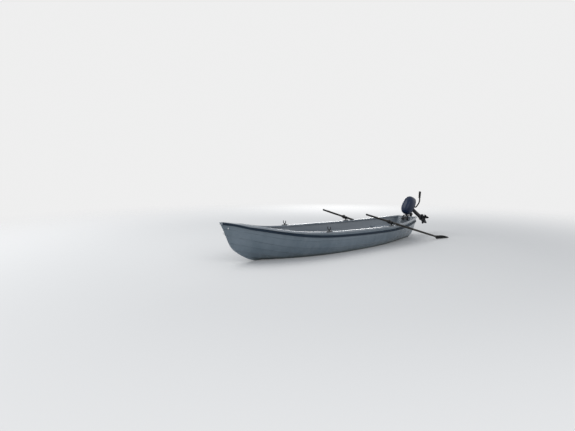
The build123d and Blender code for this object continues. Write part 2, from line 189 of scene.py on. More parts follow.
def smooth_curve(knots, rows):
    """Cubic spline through rows of values at the knots, with the not-a-knot rule at both ends:
    its second derivatives solve the three-term system, and a point is read between two knots."""
    knots = np.asarray(knots, float)
    rows = np.asarray(rows, float).reshape(len(knots), -1)
    gap = np.diff(knots)
    size = len(knots)
    inner = np.arange(1, size - 1)
    system = np.zeros((size, size))
    system[inner, inner - 1] = gap[:-1]
    system[inner, inner] = 2 * (gap[:-1] + gap[1:])
    system[inner, inner + 1] = gap[1:]
    system[0, :3] = gap[1], -(gap[0] + gap[1]), gap[0]
    system[-1, -3:] = gap[-1], -(gap[-2] + gap[-1]), gap[-2]
    right = np.zeros_like(rows)
    right[inner] = 6 * np.diff(np.diff(rows, axis=0) / gap[:, None], axis=0)
    bend = np.linalg.solve(system, right)

    def at(x):
        x = np.asarray(x, float)
        k = np.clip(np.searchsorted(knots, x, side="right") - 1, 0, size - 2)
        g = gap[k][..., None]
        a = (knots[k + 1] - x)[..., None]
        b = (x - knots[k])[..., None]
        return ((bend[k] * a ** 3 + bend[k + 1] * b ** 3) / (6 * g)
                + (rows[k] / g - bend[k] * g / 6) * a + (rows[k + 1] / g - bend[k + 1] * g / 6) * b)

    return at


def smooth_path(points, count):
    """Points along the spline through the given ones, spaced by their chord lengths."""
    points = np.asarray(points, float)
    chord = np.r_[0, np.cumsum(np.linalg.norm(np.diff(points, axis=0), axis=1))]
    return smooth_curve(chord, points)(np.linspace(0, chord[-1], count))


def ease(t):
    """Smooth step: 3 t squared minus 2 t cubed, between 0 and 1."""
    t = np.clip(t, 0, 1)
    return t * t * (3 - 2 * t)


def unit(v):
    """Each vector over its length."""
    return v / np.linalg.norm(v, axis=-1, keepdims=True)


def loop_angles(count):
    """Even angles round a whole turn."""
    return np.linspace(0, 2 * math.pi, count, endpoint=False)


def superellipse(count, power):
    """Closed outline of half sizes 1: cosine and sine, each to the power of 2 over the given one."""
    turn = loop_angles(count)
    c, s = np.cos(turn), np.sin(turn)
    share = 2 / power
    return np.stack([np.sign(c) * np.abs(c) ** share, np.sign(s) * np.abs(s) ** share], -1)


def rounded_box(left, right, low, high, power=6, count=40):
    """Closed outline between the four sides, a superellipse of a high power."""
    middle = np.array([(left + right) / 2, (low + high) / 2])
    half = np.array([(right - left) / 2, (high - low) / 2])
    return middle + superellipse(count, power) * half


def carried(outline, path, up, scale=None):
    """Closed grid of an outline carried along a path. Its second coordinate goes along the fixed
    direction up, its first along up cross the path's direction, each times the scale."""
    path = np.asarray(path, float)
    up = np.asarray(up, float)
    side = unit(np.cross(up, np.gradient(path, axis=0)))
    size = np.ones((len(path), 2)) if scale is None else np.broadcast_to(scale, (len(path), 2))
    outline = np.broadcast_to(outline, (len(path),) + np.shape(outline)[-2:]) * size[:, None, :]
    return with_poles(path[:, None, :] + outline[..., :1] * side[:, None, :] + outline[..., 1:] * up)


def with_poles(grid):
    """The grid with each end row repeated at its own middle, so that the ends are closed."""
    first = np.broadcast_to(grid[0].mean(0), grid[0].shape)
    last = np.broadcast_to(grid[-1].mean(0), grid[-1].shape)
    return np.concatenate([first[None], grid, last[None]])


def turned(profile, centre, axis, count=36):
    """Grid of a profile turned round an axis: rows of distance along the axis and radius."""
    profile = np.asarray(profile, float)
    axis = unit(np.asarray(axis, float))
    helper = np.array([0.0, 1.0, 0.0]) if abs(axis[1]) < 0.9 else np.array([1.0, 0.0, 0.0])
    first = unit(np.cross(helper, axis))
    second = np.cross(axis, first)
    turn = loop_angles(count)
    circle = np.cos(turn)[:, None] * first + np.sin(turn)[:, None] * second
    return np.asarray(centre) + profile[:, :1, None] * axis + profile[:, 1:, None] * circle


def grid_faces(rows, columns, closed):
    """Corner numbers of a grid's quads, with the last column joined to the first where closed."""
    last = columns if closed else columns - 1
    i, j = np.meshgrid(np.arange(rows - 1), np.arange(last), indexing="ij")
    across = (j + 1) % columns
    corners = [i * columns + j, i * columns + across, (i + 1) * columns + across, (i + 1) * columns + j]
    return np.stack(corners, -1).reshape(-1, 4)


def mesh_piece(name, grids, body, slot, nodes=(), sharp=38, place=None, closed=True):
    """One object from grids of points. Doubles are merged and normals are turned outwards. Edges
    of more than sharp degrees stay sharp, and place, if given, turns the object's points into
    the coordinates that its pattern follows."""
    points, faces, first = [], [], 0
    for grid in grids:
        rows, columns = np.shape(grid)[:2]
        points.append(np.reshape(grid, (-1, 3)))
        faces.append(grid_faces(rows, columns, closed) + first)
        first += rows * columns
    mesh = bpy.data.meshes.new(name)
    mesh.from_pydata(np.concatenate(points).tolist(), [], np.concatenate(faces).tolist())
    tidy = bmesh.new()
    tidy.from_mesh(mesh)
    bmesh.ops.remove_doubles(tidy, verts=tidy.verts, dist=2e-6)
    bmesh.ops.dissolve_degenerate(tidy, edges=tidy.edges, dist=1e-7)
    bmesh.ops.recalc_face_normals(tidy, faces=tidy.faces)
    tidy.to_mesh(mesh)
    tidy.free()
    if place is not None:
        count = len(mesh.vertices)
        flat = np.zeros(count * 3, np.float32)
        mesh.vertices.foreach_get("co", flat)
        layer = mesh.attributes.new("place", "FLOAT_VECTOR", "POINT")
        layer.data.foreach_set("vector", place(flat.reshape(-1, 3)).astype(np.float32).ravel())
    return settled(name, mesh, body, slot, nodes, sharp)


def settled(name, mesh, body, slot, nodes, sharp):
    """Object for a finished mesh, with its shading, finish, body, slot and the nodes it replaces."""
    mesh.shade_smooth()
    mesh.set_sharp_from_angle(angle=math.radians(sharp))
    mesh.materials.clear()
    mesh.materials.append(finishes[slot])
    piece = bpy.data.objects.new(name, mesh)
    bpy.context.scene.collection.objects.link(piece)
    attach(piece, body)
    if nodes:
        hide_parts(*nodes)
    return piece


def eased_copy(node, width):
    """A copy of a CAD node with its loose triangles merged and its sharp edges rounded."""
    mesh = frame["nodes"][node].data.copy()
    tidy = bmesh.new()
    tidy.from_mesh(mesh)
    bmesh.ops.remove_doubles(tidy, verts=tidy.verts, dist=1e-5)
    bmesh.ops.dissolve_limit(tidy, angle_limit=math.radians(1), verts=tidy.verts, edges=tidy.edges)
    tidy.to_mesh(mesh)
    tidy.free()
    piece = settled(node + "_eased", mesh, body_of[node], slot_of[node], (node,), 30)
    bevel = piece.modifiers.new("rounded edges", "BEVEL")
    bevel.width = width
    bevel.segments = 2
    bevel.limit_method = "ANGLE"
    bevel.angle_limit = math.radians(40)


def mirrored(grid, sign):
    """The port side's grid as it is for sign 1, and on the starboard side for sign -1."""
    return np.asarray(grid) * np.array([1.0, sign, 1.0])


def set_input(tree, target, value):
    """Links a shader value to a node's input, or sets a plain number, colour or vector there."""
    if isinstance(value, Socket):
        tree.links.new(value.socket, target)
    else:
        target.default_value = value


class Socket:
    """A shader value. The operators add the Math nodes of an expression."""

    def __init__(self, tree, socket):
        self.tree = tree
        self.socket = socket

    def math(self, operation, other=None, swapped=False):
        """A Math node on this value alone, or on it and another one, in turned order if swapped."""
        node = self.tree.nodes.new("ShaderNodeMath")
        node.operation = operation
        values = [self] if other is None else [self, other]
        if swapped:
            values.reverse()
        for index, value in enumerate(values):
            set_input(self.tree, node.inputs[index], value)
        return Socket(self.tree, node.outputs[0])

    def __add__(self, other):
        return self.math("ADD", other)

    __radd__ = __add__

    def __sub__(self, other):
        return self.math("SUBTRACT", other)

    def __rsub__(self, other):
        return self.math("SUBTRACT", other, swapped=True)

    def __mul__(self, other):
        return self.math("MULTIPLY", other)

    __rmul__ = __mul__

    def __pow__(self, other):
        return self.math("POWER", other)


class Nodes:
    """The nodes of one material or world, whose last node is its shader."""

    def __init__(self, owner, shader):
        owner.use_nodes = True
        self.owner = owner
        self.tree = owner.node_tree
        self.shader = self.tree.nodes[shader]

    def node(self, kind, output, settings=None, inputs=None):
        """A new node with its settings, then its inputs: the value of its output, by name or number."""
        node = self.tree.nodes.new(kind)
        for key, value in (settings or {}).items():
            setattr(node, key, value)
        for key, value in (inputs or {}).items():
            set_input(self.tree, node.inputs[key], value)
        return Socket(self.tree, node.outputs[output])

    def feed(self, name, value):
        """Links a value to the shader's socket of that name, or sets it there."""
        set_input(self.tree, self.shader.inputs[name], value)

    def mixed(self, factor, first, second):
        inputs = {0: factor, 6: first, 7: second}
        return self.node("ShaderNodeMix", 2, {"data_type": "RGBA"}, inputs)


class Finish(Nodes):
    """A material with one principled shader. Its patterns follow the object's coordinates, or
    the attribute that it is given."""

    def __init__(self, name, follows=None, **constants):
        super().__init__(bpy.data.materials.new(name), "Principled BSDF")
        for socket, value in constants.items():
            self.feed(socket.replace("_", " "), value)
        if follows:
            self.place = self.node("ShaderNodeAttribute", "Vector", {"attribute_name": follows})
        else:
            self.place = self.node("ShaderNodeTexCoord", "Object")

    def stretched(self, scale):
        return self.node("ShaderNodeMapping", "Vector", None, {"Vector": self.place, "Scale": scale})

    def noise(self, scale, detail=4.0, roughness=0.55, stretch=None):
        where = self.stretched(stretch) if stretch else self.place
        inputs = {"Vector": where, "Scale": scale, "Detail": detail, "Roughness": roughness}
        return self.node("ShaderNodeTexNoise", 0, None, inputs)

    def cells(self, scale):
        inputs = {"Vector": self.place, "Scale": scale}
        return self.node("ShaderNodeTexVoronoi", "Distance", None, inputs)

    def part(self, vector, name):
        return self.node("ShaderNodeSeparateXYZ", name, None, {"Vector": vector})

    def axis(self, name):
        return self.part(self.place, name)

    def facing_in(self):
        """1 on faces that look up or towards the centre plane, 0 on those that look out or down."""
        normal = self.node("ShaderNodeTexCoord", "Normal")
        outwards = self.part(normal, "Y") * self.axis("Y").math("SIGN") - self.part(normal, "Z") * 0.5
        return self.ramp(outwards, 0.05, -0.05)

    def ramp(self, value, low, high):
        """0 below low, 1 above high and smooth between; low may be above high."""
        inputs = {"Value": value, "From Min": low, "From Max": high}
        return self.node(
            "ShaderNodeMapRange", "Result", {"interpolation_type": "SMOOTHSTEP", "clamp": True}, inputs)

    def bump(self, height, strength, distance):
        inputs = {"Height": height, "Strength": strength, "Distance": distance}
        self.feed("Normal", self.node("ShaderNodeBump", "Normal", None, inputs))


def tone(r, g, b):
    """A colour for a shader socket, opaque."""
    return (r, g, b, 1.0)


def gelcoat(name, dark, light, gloss, ripple, scuffing=1.0, stain=None, liner=None):
    """Glossy moulded gelcoat: two close tones, fine scuffs and long faint runs. A stain has the
    heights where it starts and is full, and its tone. The inside tones are two paler tones, painted
    light, on the faces that look up or inwards; the darker outside tones are the same gelcoat in
    painted shade."""
    finish = Finish(name, Coat_Weight=0.35, Coat_Roughness=0.12)
    drift = finish.noise(2.3, detail=3)
    runs = finish.noise(9, detail=3, stretch=(1.0, 1.0, 0.12))
    scratches = finish.noise(55, detail=6, roughness=0.7, stretch=(0.35, 1.0, 1.0))
    scuffs = finish.ramp(scratches, 0.62, 0.74) * scuffing
    shade = finish.ramp(drift * 0.6 + runs * 0.4, 0.36, 0.64)
    colour = finish.mixed(shade, tone(*dark), tone(*light))
    colour = finish.mixed(scuffs * 0.22, colour, tone(*[0.72 * c for c in dark]))
    rough = gloss + scuffs * 0.16 + (runs - 0.5) * 0.10
    if stain:
        starts, full, stained = stain
        height = finish.axis("Z") + (finish.noise(7, detail=5) - 0.5) * 0.05
        band = finish.ramp(height, starts, full)
        colour = finish.mixed(band * 0.75, colour, tone(*stained))
        rough = rough + band * 0.18
    # Painted light and shade on one gelcoat: faces that look up or inwards get the paler inside tones,
    # all others the darker outside ones
    if liner:
        inner = finish.mixed(drift, tone(*liner[0]), tone(*liner[1]))
        colour = finish.mixed(finish.facing_in(), colour, inner)
    finish.feed("Base Color", colour)
    finish.feed("Roughness", rough)
    finish.bump(finish.noise(18, detail=2) * 0.6 + scuffs * 0.4, ripple, 0.0012)
    return finish.owner


def non_slip(name, dark, light, roughness):
    """Moulded non-slip gelcoat: raised round grains over two tones, with dirt between them."""
    finish = Finish(name)
    grains = finish.ramp(finish.cells(150), 0.42, 0.18)
    drift = finish.noise(6, detail=5)
    dirt = finish.ramp(finish.noise(14, detail=6, roughness=0.65), 0.5, 0.72)
    colour = finish.mixed(drift, tone(*dark), tone(*light))
    colour = finish.mixed(dirt * (1 - grains) * 0.5, colour, tone(*[0.5 * c for c in dark]))
    finish.feed("Base Color", colour)
    finish.feed("Roughness", roughness + dirt * 0.15 - grains * 0.08)
    finish.bump(grains + drift * 0.2, 0.5, 0.0012)
    return finish.owner


def moulded(name, dark, light, roughness, wear=None, **constants):
    """Moulded rubber or plastic: fine grain, a slow drift of tone, and pale rubbed places."""
    finish = Finish(name, **constants)
    fine = finish.noise(420, detail=3, roughness=0.6)
    drift = finish.noise(9, detail=4)
    rubbed = finish.ramp(finish.noise(32, detail=6, roughness=0.7), 0.60, 0.76)
    colour = finish.mixed(drift, tone(*dark), tone(*light))
    if wear:
        colour = finish.mixed(rubbed * 0.6, colour, tone(*wear))
    finish.feed("Base Color", colour)
    finish.feed("Roughness", roughness + (fine - 0.5) * 0.18 + rubbed * 0.10)
    finish.bump(fine + rubbed * 0.3, 0.30, 0.0005)
    return finish.owner


def painted(name, dark, light, roughness, coat, chips, gleam=0.3):
    """Sprayed paint: orange peel, a tone that drifts, dust on it and chips down to grey metal."""
    finish = Finish(name, Coat_Weight=coat, Coat_Roughness=0.08, Specular_IOR_Level=gleam)
    drift = finish.noise(5, detail=3)
    dust = finish.ramp(finish.noise(24, detail=7, roughness=0.7), 0.55, 0.78)
    bare = finish.ramp(finish.noise(85, detail=4, roughness=0.6), 0.73, 0.76)
    colour = finish.mixed(drift, tone(*dark), tone(*light))
    colour = finish.mixed(dust * 0.12, colour, tone(0.07, 0.08, 0.10))
    colour = finish.mixed(bare * chips, colour, tone(0.16, 0.165, 0.17))
    finish.feed("Base Color", colour)
    finish.feed("Roughness", roughness + dust * 0.20 + bare * (0.15 * chips))
    finish.bump(finish.noise(260, detail=1) - bare * 0.8 * chips, 0.10, 0.0006)
    return finish.owner


def bare_metal(name, dark, light, roughness, spangle, tarnish):
    """Bare metal: crystal spangle or fine polishing marks, with a warm tarnish in patches."""
    finish = Finish(name, Metallic=1.0)
    flakes = finish.cells(spangle)
    patches = finish.ramp(finish.noise(26, detail=6, roughness=0.65), 0.52, 0.72)
    colour = finish.mixed(flakes, tone(*dark), tone(*light))
    colour = finish.mixed(patches * 0.6, colour, tone(*tarnish))
    finish.feed("Base Color", colour)
    finish.feed("Roughness", roughness + flakes * 0.10 + patches * 0.25)
    finish.bump(flakes * 0.4 + patches * 0.6, 0.20, 0.0004)
    return finish.owner


def steel_with_painted_glint_and_shade(name):
    """Stainless steel with painted light: a painted glint makes the fittings at the bow bright, and
    painted shade makes the duller ones by the motor dark.
    """
    finish = Finish(name, Metallic=1.0)
    # Painted light along x: the steel is near black by the motor, as painted shade, and near white at
    # the bow, as a painted glint
    bow = finish.ramp(finish.axis("X"), 0.5, 1.5)
    wear = finish.noise(420, detail=4)
    spots = finish.ramp(finish.noise(60, detail=5, roughness=0.65), 0.55, 0.72)
    colour = finish.mixed(bow, tone(0.030, 0.032, 0.036), tone(0.80, 0.81, 0.82))
    colour = finish.mixed(wear * 0.25 + spots * 0.35, colour, tone(0.16, 0.145, 0.13))
    finish.feed("Base Color", colour)
    finish.feed("Roughness", 0.34 - bow * 0.12 + spots * 0.2 + (wear - 0.5) * 0.1)
    finish.bump(wear * 0.5 + spots * 0.5, 0.12, 0.0003)
    return finish.owner


def weathered_wood(name):
    """Varnished spruce gone grey: grain lines along the oar, rings of tone, dark wet blade."""
    finish = Finish(name, follows="place", Specular_IOR_Level=0.22)
    fibre = finish.noise(60, detail=6, roughness=0.65, stretch=(0.05, 1.0, 1.0))
    rings = finish.noise(16, detail=3, stretch=(0.04, 1.0, 1.0))
    patch = finish.noise(5, detail=5, stretch=(0.5, 1.0, 1.0))
    lines = finish.ramp(fibre, 0.40, 0.62)
    colour = finish.mixed(lines, tone(0.008, 0.007, 0.006), tone(0.027, 0.022, 0.017))
    colour = finish.mixed(finish.ramp(rings, 0.40, 0.65) * 0.5, colour, tone(0.034, 0.028, 0.022))
    grey = finish.ramp(patch, 0.42, 0.66)
    colour = finish.mixed(grey * 0.55, colour, tone(0.032, 0.031, 0.030))
    wet = finish.ramp(finish.axis("X") + (patch - 0.5) * 0.2, -1.18, -1.34)
    colour = finish.mixed(wet * 0.8, colour, tone(0.011, 0.011, 0.012))
    finish.feed("Base Color", colour)
    finish.feed("Roughness", 0.50 + grey * 0.22 - wet * 0.18 + (fibre - 0.5) * 0.2)
    finish.bump(fibre * 0.7 + lines * 0.3, 0.35, 0.0008)
    return finish.owner


# The record's material slots: what makes each finish, and with which tones and values
SLOTS = {
    # Hull: the darker outside tones and the paler inside tones are one gelcoat, the gap between them
    # painted shade and painted light
    "hull_gelcoat": (gelcoat, dict(
        dark=(0.108, 0.148, 0.182), light=(0.142, 0.184, 0.222), gloss=0.24, ripple=0.12,
        stain=(0.075, 0.005, (0.045, 0.058, 0.052)),
        liner=((0.160, 0.188, 0.218), (0.205, 0.234, 0.264)))),
    "gunwale_gelcoat": (gelcoat, dict(
        dark=(0.19, 0.222, 0.255), light=(0.26, 0.29, 0.322), gloss=0.18, ripple=0.02, scuffing=0.2)),
    "fender_rubber": (moulded, dict(
        dark=(0.003, 0.012, 0.026), light=(0.006, 0.020, 0.040), roughness=0.50,
        wear=(0.015, 0.030, 0.045), Specular_IOR_Level=0.25)),
    "bench_gelcoat": (non_slip, dict(
        dark=(0.165, 0.195, 0.23), light=(0.215, 0.245, 0.28), roughness=0.38)),
    "sole": (non_slip, dict(dark=(0.12, 0.135, 0.15), light=(0.17, 0.185, 0.20), roughness=0.6)),
    "rowlock_pad": (moulded, dict(
        dark=(0.050, 0.055, 0.060), light=(0.090, 0.096, 0.102), roughness=0.5)),
    "galvanised_steel": (bare_metal, dict(
        dark=(0.022, 0.024, 0.027), light=(0.052, 0.055, 0.060), roughness=0.40, spangle=180,
        tarnish=(0.034, 0.026, 0.020))),
    "oar_plastic": (moulded, dict(
        dark=(0.007, 0.007, 0.008), light=(0.017, 0.017, 0.019), roughness=0.42,
        Specular_IOR_Level=0.25)),
    "oar_wood": (weathered_wood, {}),
    "transom_pad": (moulded, dict(
        dark=(0.060, 0.074, 0.088), light=(0.095, 0.110, 0.126), roughness=0.55,
        wear=(0.13, 0.145, 0.16), Specular_IOR_Level=0.3)),
    "motor_cowl": (painted, dict(
        dark=(0.004, 0.011, 0.032), light=(0.008, 0.022, 0.062), roughness=0.28, coat=0.15,
        chips=0.12, gleam=0.22)),
    "motor_pan": (painted, dict(
        dark=(0.004, 0.006, 0.010), light=(0.008, 0.010, 0.016), roughness=0.38, coat=0.05,
        chips=0.2, gleam=0.15)),
    "motor_metal": (painted, dict(
        dark=(0.004, 0.005, 0.008), light=(0.009, 0.011, 0.015), roughness=0.40, coat=0.04,
        chips=0.4, gleam=0.14)),
    "propeller": (painted, dict(
        dark=(0.005, 0.006, 0.009), light=(0.011, 0.013, 0.016), roughness=0.40, coat=0.04,
        chips=0.6, gleam=0.14)),
    "engine": (painted, dict(
        dark=(0.05, 0.05, 0.05), light=(0.09, 0.09, 0.09), roughness=0.5, coat=0.0, chips=0.6)),
    # Stainless: a painted glint at the bow and painted shade by the motor
    "stainless": (steel_with_painted_glint_and_shade, {}),
    "grip_rubber": (moulded, dict(
        dark=(0.006, 0.006, 0.007), light=(0.014, 0.014, 0.015), roughness=0.55,
        Specular_IOR_Level=0.2)),
}
finishes = {slot: make(slot, **values) for slot, (make, values) in SLOTS.items()}

slot_of = {row["node"]: row["material_slot"] for row in frame["record"]["subparts"]}
bodies = frame["record"]["behaviour"]["bodies"]
body_of = {node: body for body, nodes in bodies.items() for node in nodes}
for node, solid in frame["nodes"].items():
    solid.data.materials.clear()
    solid.data.materials.append(finishes[slot_of[node]])

# Hull moulding
STATIONS = HULL_LINES[:, 0]
strake_edges = smooth_curve(STATIONS, HULL_LINES[:, 1:])


def edges_at(x, inset):
    """Points (..., 7, 2) of the keel line, the strake edges and the sheer at each x, moved
    inwards by inset along the mean normal of the two strakes that meet there."""
    edge = strake_edges(x).reshape(np.shape(x) + (STRAKES + 1, 2))
    run = unit(np.diff(edge, axis=-2))
    outward = np.stack([run[..., 1], -run[..., 0]], -1)
    at_edge = np.concatenate([outward[..., :1, :], outward[..., :-1, :] + outward[..., 1:, :],
                              outward[..., -1:, :]], -2)
    return edge - inset * unit(at_edge), outward


def hull_lines_at(x, strake, share, inset, lap):
    """y and z where each line of the hull is at x. A line is a share of the way up its strake.
    The lowest strake starts on the centre plane. The lap stands out by lap at a strake's lower
    edge, from a short rounded step, and fades to nothing at its upper edge."""
    edge, outward = edges_at(x, inset)
    low = np.take_along_axis(edge, strake[..., None, None], -2)[..., 0, :]
    high = np.take_along_axis(edge, strake[..., None, None] + 1, -2)[..., 0, :]
    lowest = strake == 0
    centre = np.where(lowest, np.clip(-low[..., 0] / (high[..., 0] - low[..., 0] + 1e-9), 0, 1), 0)
    along = centre + (1 - centre) * share
    point = low + (high - low) * along[..., None]
    stand = np.where(lowest, 0, lap * (1 - share) * ease(share / LAP_SHARE))
    normal = np.take_along_axis(outward, strake[..., None, None], -2)[..., 0, :]
    return point + normal * stand[..., None]


def transom_x(z):
    """x of the transom's plane at a height: it leans aft by a constant share of the rise."""
    return TRANSOM_TOP[0] - (z - TRANSOM_TOP[1]) * TRANSOM_LEAN


SHARES = np.array([0.015, 0.03, 0.05, 0.07, 0.09, 0.12, 0.22, 0.36, 0.5, 0.64, 0.78, 0.9, 1.0])
LINE_STRAKE = np.repeat(np.arange(STRAKES), [KEEL_LINES] + [len(SHARES)] * (STRAKES - 1))
LINE_SHARE = np.concatenate([np.linspace(0, 1, KEEL_LINES), np.tile(SHARES, STRAKES - 1)])


def hull_grid(inset, lap):
    """Grid of the port skin, inset from the outer one, with laps that stand out by lap. Every
    line runs from the transom's plane to where it meets the centre plane at the stem. Its points
    are spaced by a mix of an even share and a sine, so they are closer towards the bow."""
    dense = np.linspace(SEARCH_FROM, STATIONS[-1], SEARCH_POINTS)
    strake = np.broadcast_to(LINE_STRAKE[:, None], (len(LINE_STRAKE), len(dense)))
    share = np.broadcast_to(LINE_SHARE[:, None], strake.shape)
    reach = np.where(strake == 0, 1.0, share)
    line = hull_lines_at(np.broadcast_to(dense, strake.shape), strake, reach, inset, lap)
    last = line.shape[1] - 1 - np.argmax(line[:, ::-1, 0] > 0, axis=1)
    pick = np.arange(len(line))
    beyond = np.minimum(last + 1, len(dense) - 1)
    y0, y1 = line[pick, last, 0], line[pick, beyond, 0]
    fore = dense[last] + (dense[beyond] - dense[last]) * y0 / (y0 - y1 + 1e-12)
    behind = dense - transom_x(line[..., 1]) > 0
    first = np.argmax(behind, axis=1)
    aft = dense[first]
    even = np.linspace(0, 1, HULL_COLUMNS)
    along = (1 - BOW_CLOSENESS) * even + BOW_CLOSENESS * np.sin(even * math.pi / 2)
    x = aft[:, None] + (fore - aft)[:, None] * along
    strake = np.broadcast_to(LINE_STRAKE[:, None], x.shape)
    share = np.broadcast_to(LINE_SHARE[:, None], x.shape)
    yz = hull_lines_at(x, strake, share, inset, lap)
    grid = np.concatenate([x[..., None], yz], -1)
    grid[:, 0, 0] = transom_x(grid[:, 0, 2])
    grid[:, -1, 1] = 0
    grid[0, :, 1] = 0
    grid[..., 1] = np.maximum(grid[..., 1], 0)
    return grid


# The skins of both sides, joined along the sheer and at the transom
outer = hull_grid(0.0, LAP)
inner = hull_grid(WALL, 0.0)
sheer_edge = np.stack([outer[-1], inner[-1]])
transom_edge = np.stack([outer[:, 0], inner[:, 0]])
skin = [mirrored(sheet, sign) for _, sign in SIDES
        for sheet in (outer, inner[::-1], sheer_edge, transom_edge)]
mesh_piece("hull_moulding", skin, "hull", "hull_gelcoat", ("hull_port", "hull_starboard"),
           sharp=50, closed=False)
eased_copy("hull_stem_and_keel", 0.004)
eased_copy("hull_transom", 0.002)


def sheer_points(x):
    """Points of the port sheer line at each x."""
    edge, _ = edges_at(x, 0.0)
    return np.concatenate([x[:, None], edge[:, -1, :]], -1)


# Cap: a rounded box whose top is crowned by a parabola, carried along the sheer
UP = (0.0, 0.0, 1.0)
sheer = sheer_points(np.linspace(*CAP_ENDS, 220))
cap_outline = rounded_box(-CAP_IN, CAP_OUT, -CAP_SKIRT, CAP_HEIGHT, power=5)
off_middle = (cap_outline[:, 0] + (CAP_IN - CAP_OUT) / 2) / ((CAP_IN + CAP_OUT) / 2)
cap_outline[:, 1] += CAP_CROWN * (1 - off_middle ** 2) * (cap_outline[:, 1] > 0)
cap = carried(cap_outline, sheer, UP)
cap[..., 1] = np.maximum(cap[..., 1], CENTRE_GAP)
for side, sign in SIDES:
    mesh_piece(f"gunwale_cap_{side}", [mirrored(cap, sign)], "hull", "gunwale_gelcoat",
               ("gunwale",), sharp=60)

# Breasthook: a flat box nearly as wide as the hull at each x, crowned across by a parabola
hook_line = sheer_points(np.linspace(*HOOK_ENDS, 40))
hook_half = np.maximum(hook_line[:, 1] - HOOK_INSET, HOOK_HALF_HEIGHT)
hook_path = hook_line * np.array([1, 0, 1]) + np.array([0, 0, CAP_HEIGHT - HOOK_BELOW_CAP])
hook_scale = np.stack([hook_half, np.full(40, HOOK_HALF_HEIGHT)], -1)
hook = carried(superellipse(40, 8), hook_path, UP, scale=hook_scale)
hook[..., 2] += HOOK_CROWN * (1 - np.minimum(np.abs(hook[..., 1]) / HOOK_CROWN_HALF, 1) ** 2)
mesh_piece("breasthook", [hook], "hull", "gunwale_gelcoat", ("gunwale",), sharp=60)

# Stern cap: a rounded box carried across the transom's top
_, stern_y, stern_z = sheer_points(np.array([STERN_SHEER_X]))[0]
across = np.linspace(-stern_y, stern_y, 24)
stern_path = np.stack([np.full(24, STERN_CAP_X), across, np.full(24, stern_z)], -1)
stern_outline = rounded_box(-STERN_CAP_HALF, STERN_CAP_HALF, -STERN_CAP_DEPTH, CAP_HEIGHT)
mesh_piece("stern_cap", [carried(stern_outline, stern_path, UP)], "hull", "gunwale_gelcoat",
           ("gunwale",), sharp=60)

# Fenders: a domed strip with a groove along its middle, from the transom to the stem. The dome
# is 1 less the fourth power of the height's share, to the power 0.42, and the groove a bell
# curve. Near both ends it gets flatter, by a smooth step
drop_at = smooth_curve(FENDER_DROPS[:, 0], FENDER_DROPS[:, 1])


def strip_points(x):
    """Points of the fender's top edge on the top strake's face, its drop below the sheer."""
    edge, _ = edges_at(x, 0.0)
    drop = drop_at(x)[:, 0] - BOW_LIFT * ease((x - BOW_LIFT_FROM) / BOW_LIFT_RUN)
    low, high = edge[:, -2], edge[:, -1]
    y = high[:, 0] - drop / (high[:, 1] - low[:, 1]) * (high[:, 0] - low[:, 0] - LAP)
    return np.stack([x, y, high[:, 1] - drop], -1)


strip_run = np.linspace(*FENDER_ENDS, 220)
strip = strip_points(strip_run)
lift = np.linspace(-1, 1, 33)
dome = FENDER_OUT * (1 - np.abs(lift) ** 4) ** 0.42
dome -= FENDER_GROOVE * np.exp(-(lift / GROOVE_HALF) ** 2)
front = np.stack([dome, FENDER_HEIGHT / 2 * (lift - 1)], -1)
back = np.stack([np.full(8, FENDER_BACK), np.linspace(0, -FENDER_HEIGHT, 8)], -1)
strip_outline = np.concatenate([front, back])
full = ease((strip_run - strip_run[0]) / FENDER_CLOSING[0])
full = full * ease((strip_run[-1] - strip_run) / FENDER_CLOSING[1])
strip_scale = np.stack([FENDER_END_SHARE + (1 - FENDER_END_SHARE) * full, np.ones_like(full)], -1)
band = carried(strip_outline, strip, UP, scale=strip_scale)
band[..., 1] = np.maximum(band[..., 1], STRIP_GAP)
for side, sign in SIDES:
    mesh_piece(f"fender_strip_{side}", [mirrored(band, sign)], "hull", "fender_rubber",
               (f"fender_{side}",), sharp=60)

# Copies of CAD solids with rounded edges: each node and the width of its rounding
for node, width in (("bench_bow", 0.012), ("thwart_fore", 0.012), ("thwart_aft", 0.012),
                    ("bench_stern", 0.012), ("sole", 0.003), ("transom_pad_outer", 0.005),
                    ("transom_pad_inner", 0.004), ("motor_clamp_bracket", 0.0025),
                    ("motor_clamp_screw_port", 0.0015), ("motor_clamp_screw_starboard", 0.0015),
                    ("motor_swivel_bracket", 0.004)):
    eased_copy(node, width)


def layered(plan, levels, centre):
    """Closed grid of one level plan at several heights: rows of height and share of its size."""
    outlines = [np.concatenate([plan * share, np.full((len(plan), 1), height)], -1)
                for height, share in levels]
    return with_poles(np.stack(outlines) + np.asarray(centre))


# Rowlock pads: a rounded plan in layers, and two screw heads turned round upright axes
PAD_LEVELS = [(-0.022, 1.0), (-0.004, 1.0), (-0.002, 0.985), (-0.0006, 0.955), (0, 0.90), (0, 0.45)]
SCREW_HEAD = [(0, 0), (0, 0.0062), (0.0012, 0.0058), (0.0024, 0.0035), (0.0026, 0)]


def pad_grids(seat):
    """A rowlock's pad and its two screw heads, with the top's middle at the seat."""
    heads = [turned(SCREW_HEAD, seat + np.array([end * PAD_SCREW_AT, 0, -0.0003]), UP, 20)
             for end in (-1, 1)]
    return [layered(superellipse(64, 5) * np.array(PAD_HALF), PAD_LEVELS, seat), *heads]


# Neck, collar and pin of a crutch: height over its centre and radius
CRUTCH_STEM = [
    (-0.083, 0), (-0.083, 0.0050), (-0.081, 0.0065), (-0.0505, 0.0065), (-0.0500, 0.0135),
    (-0.0465, 0.0140), (-0.0440, 0.0110), (-0.040, 0.0095), (-0.036, 0.0098), (-0.030, 0.0040),
    (-0.030, 0),
]


